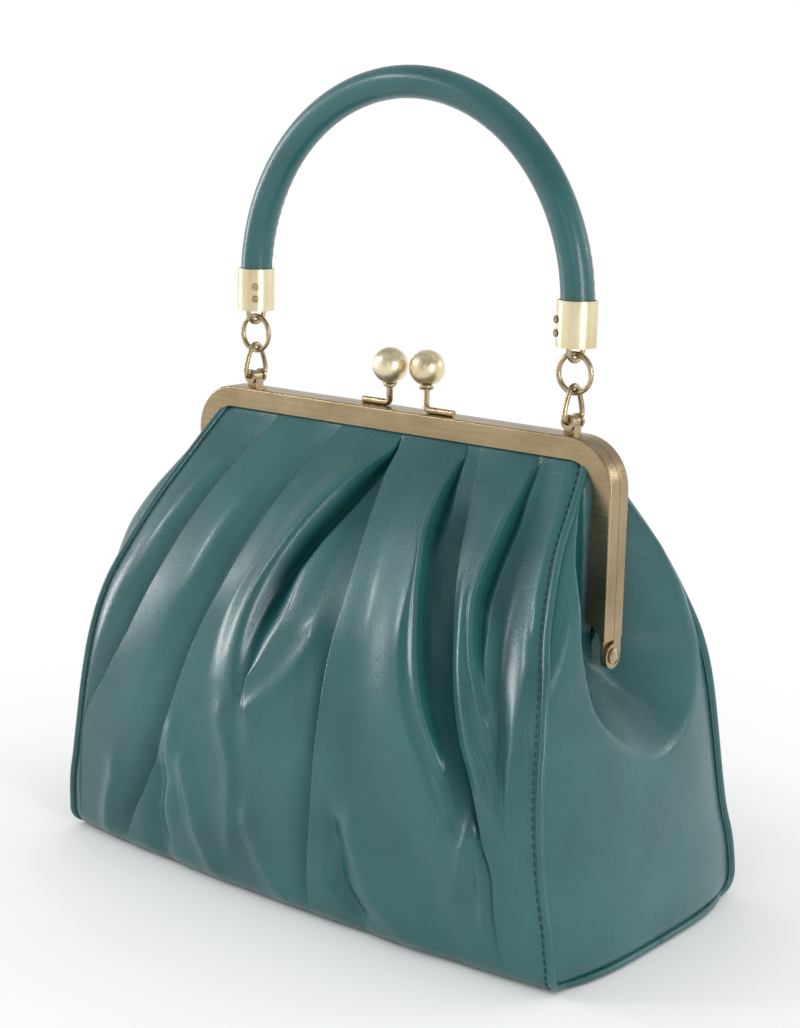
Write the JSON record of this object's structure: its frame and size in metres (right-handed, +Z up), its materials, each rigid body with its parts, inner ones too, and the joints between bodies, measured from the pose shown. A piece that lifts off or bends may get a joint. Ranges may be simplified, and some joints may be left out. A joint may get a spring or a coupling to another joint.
{
  "type": "kiss lock frame purse",
  "caption": "Soft gathered leather handbag on a hinged two-half metal frame with a crossing-ball snap clasp and a round top handle on rings.",
  "frame": {"origin": "middle of the base on the surface that the purse stands on", "axes": "+Z up, +X to the purse's right as seen from the front, the front faces -Y"},
  "size_m": [0.2434, 0.1302, 0.3074],
  "materials": {
    "teal_leather": "smooth satin teal leather",
    "lining_fabric": "woven lining cloth",
    "filler_cord": "twisted paper and cotton cord",
    "stiffener_board": "plain stiff board",
    "antique_brass": "brushed antique brass plating",
    "bright_brass": "brushed bright brass"
  },
  "bodies": {
    "pouch": {"front_panel": "teal_leather", "rear_panel": "teal_leather", "left_gusset": "teal_leather", "right_gusset": "teal_leather", "left_piping": "teal_leather", "right_piping": "teal_leather", "base_panel": "teal_leather", "base_board": "stiffener_board", "lining": "lining_fabric", "left_hinge_rivet": "antique_brass", "right_hinge_rivet": "antique_brass"},
    "front_half": {"front_frame": "antique_brass", "front_frame_cord": "filler_cord", "front_panel_upper": "teal_leather", "front_clasp_post": "antique_brass", "front_clasp_ball": "antique_brass", "front_clasp_collar": "antique_brass", "front_left_gusset_wing": "teal_leather", "front_left_piping_upper": "teal_leather", "front_right_gusset_wing": "teal_leather", "front_right_piping_upper": "teal_leather"},
    "rear_half": {"rear_frame": "antique_brass", "rear_frame_cord": "filler_cord", "rear_panel_upper": "teal_leather", "rear_clasp_post": "antique_brass", "rear_clasp_ball": "antique_brass", "rear_clasp_collar": "antique_brass", "rear_left_gusset_wing": "teal_leather", "rear_left_piping_upper": "teal_leather", "rear_right_gusset_wing": "teal_leather", "rear_right_piping_upper": "teal_leather", "left_ring_lug": "antique_brass", "right_ring_lug": "antique_brass"},
    "left_swivel": {"left_swivel_ring": "antique_brass"},
    "right_swivel": {"right_swivel_ring": "antique_brass"},
    "left_jump": {"left_jump_ring": "antique_brass"},
    "right_jump": {"right_jump_ring": "antique_brass"},
    "handle": {"handle_core": "filler_cord", "handle_cover": "teal_leather", "left_ferrule": "bright_brass", "left_ferrule_screws": "antique_brass", "left_handle_loop": "antique_brass", "right_ferrule": "bright_brass", "right_ferrule_screws": "antique_brass", "right_handle_loop": "antique_brass"}
  },
  "joints": [
    {"name": "front_half_open", "type": "hinge", "parent": "pouch", "child": "front_half", "pos_m": [0, 0, 0.1034], "axis": [1, 0, 0], "range_deg": [0, 27.5]},
    {"name": "rear_half_open", "type": "hinge", "parent": "pouch", "child": "rear_half", "pos_m": [0, 0, 0.1034], "axis": [1, 0, 0], "range_deg": [-27.5, 0]},
    {"name": "left_swivel_turn", "type": "hinge", "parent": "rear_half", "child": "left_swivel", "pos_m": [-0.077, 0.003, 0.1845], "axis": [0, 1, 0], "range_deg": [-8, 8]},
    {"name": "left_jump_swing", "type": "hinge", "parent": "rear_half", "child": "left_jump", "pos_m": [-0.077, 0.003, 0.1948], "axis": [1, 0, 0], "range_deg": [-75, 75]},
    {"name": "right_swivel_turn", "type": "hinge", "parent": "rear_half", "child": "right_swivel", "pos_m": [0.077, 0.003, 0.1845], "axis": [0, 1, 0], "range_deg": [-8, 8]},
    {"name": "right_jump_swing", "type": "hinge", "parent": "rear_half", "child": "right_jump", "pos_m": [0.077, 0.003, 0.1948], "axis": [1, 0, 0], "range_deg": [-75, 75]},
    {"name": "handle_swing", "type": "hinge", "parent": "left_jump", "child": "handle", "pos_m": [-0.077, 0.003, 0.2086], "axis": [1, 0, 0], "range_deg": [-40, 40]}
  ],
  "couplings": [
    {"joint": "rear_half_open", "follows": "front_half_open", "ratio": -1},
    {"joint": "right_jump_swing", "follows": "left_jump_swing", "ratio": 1}
  ]
}
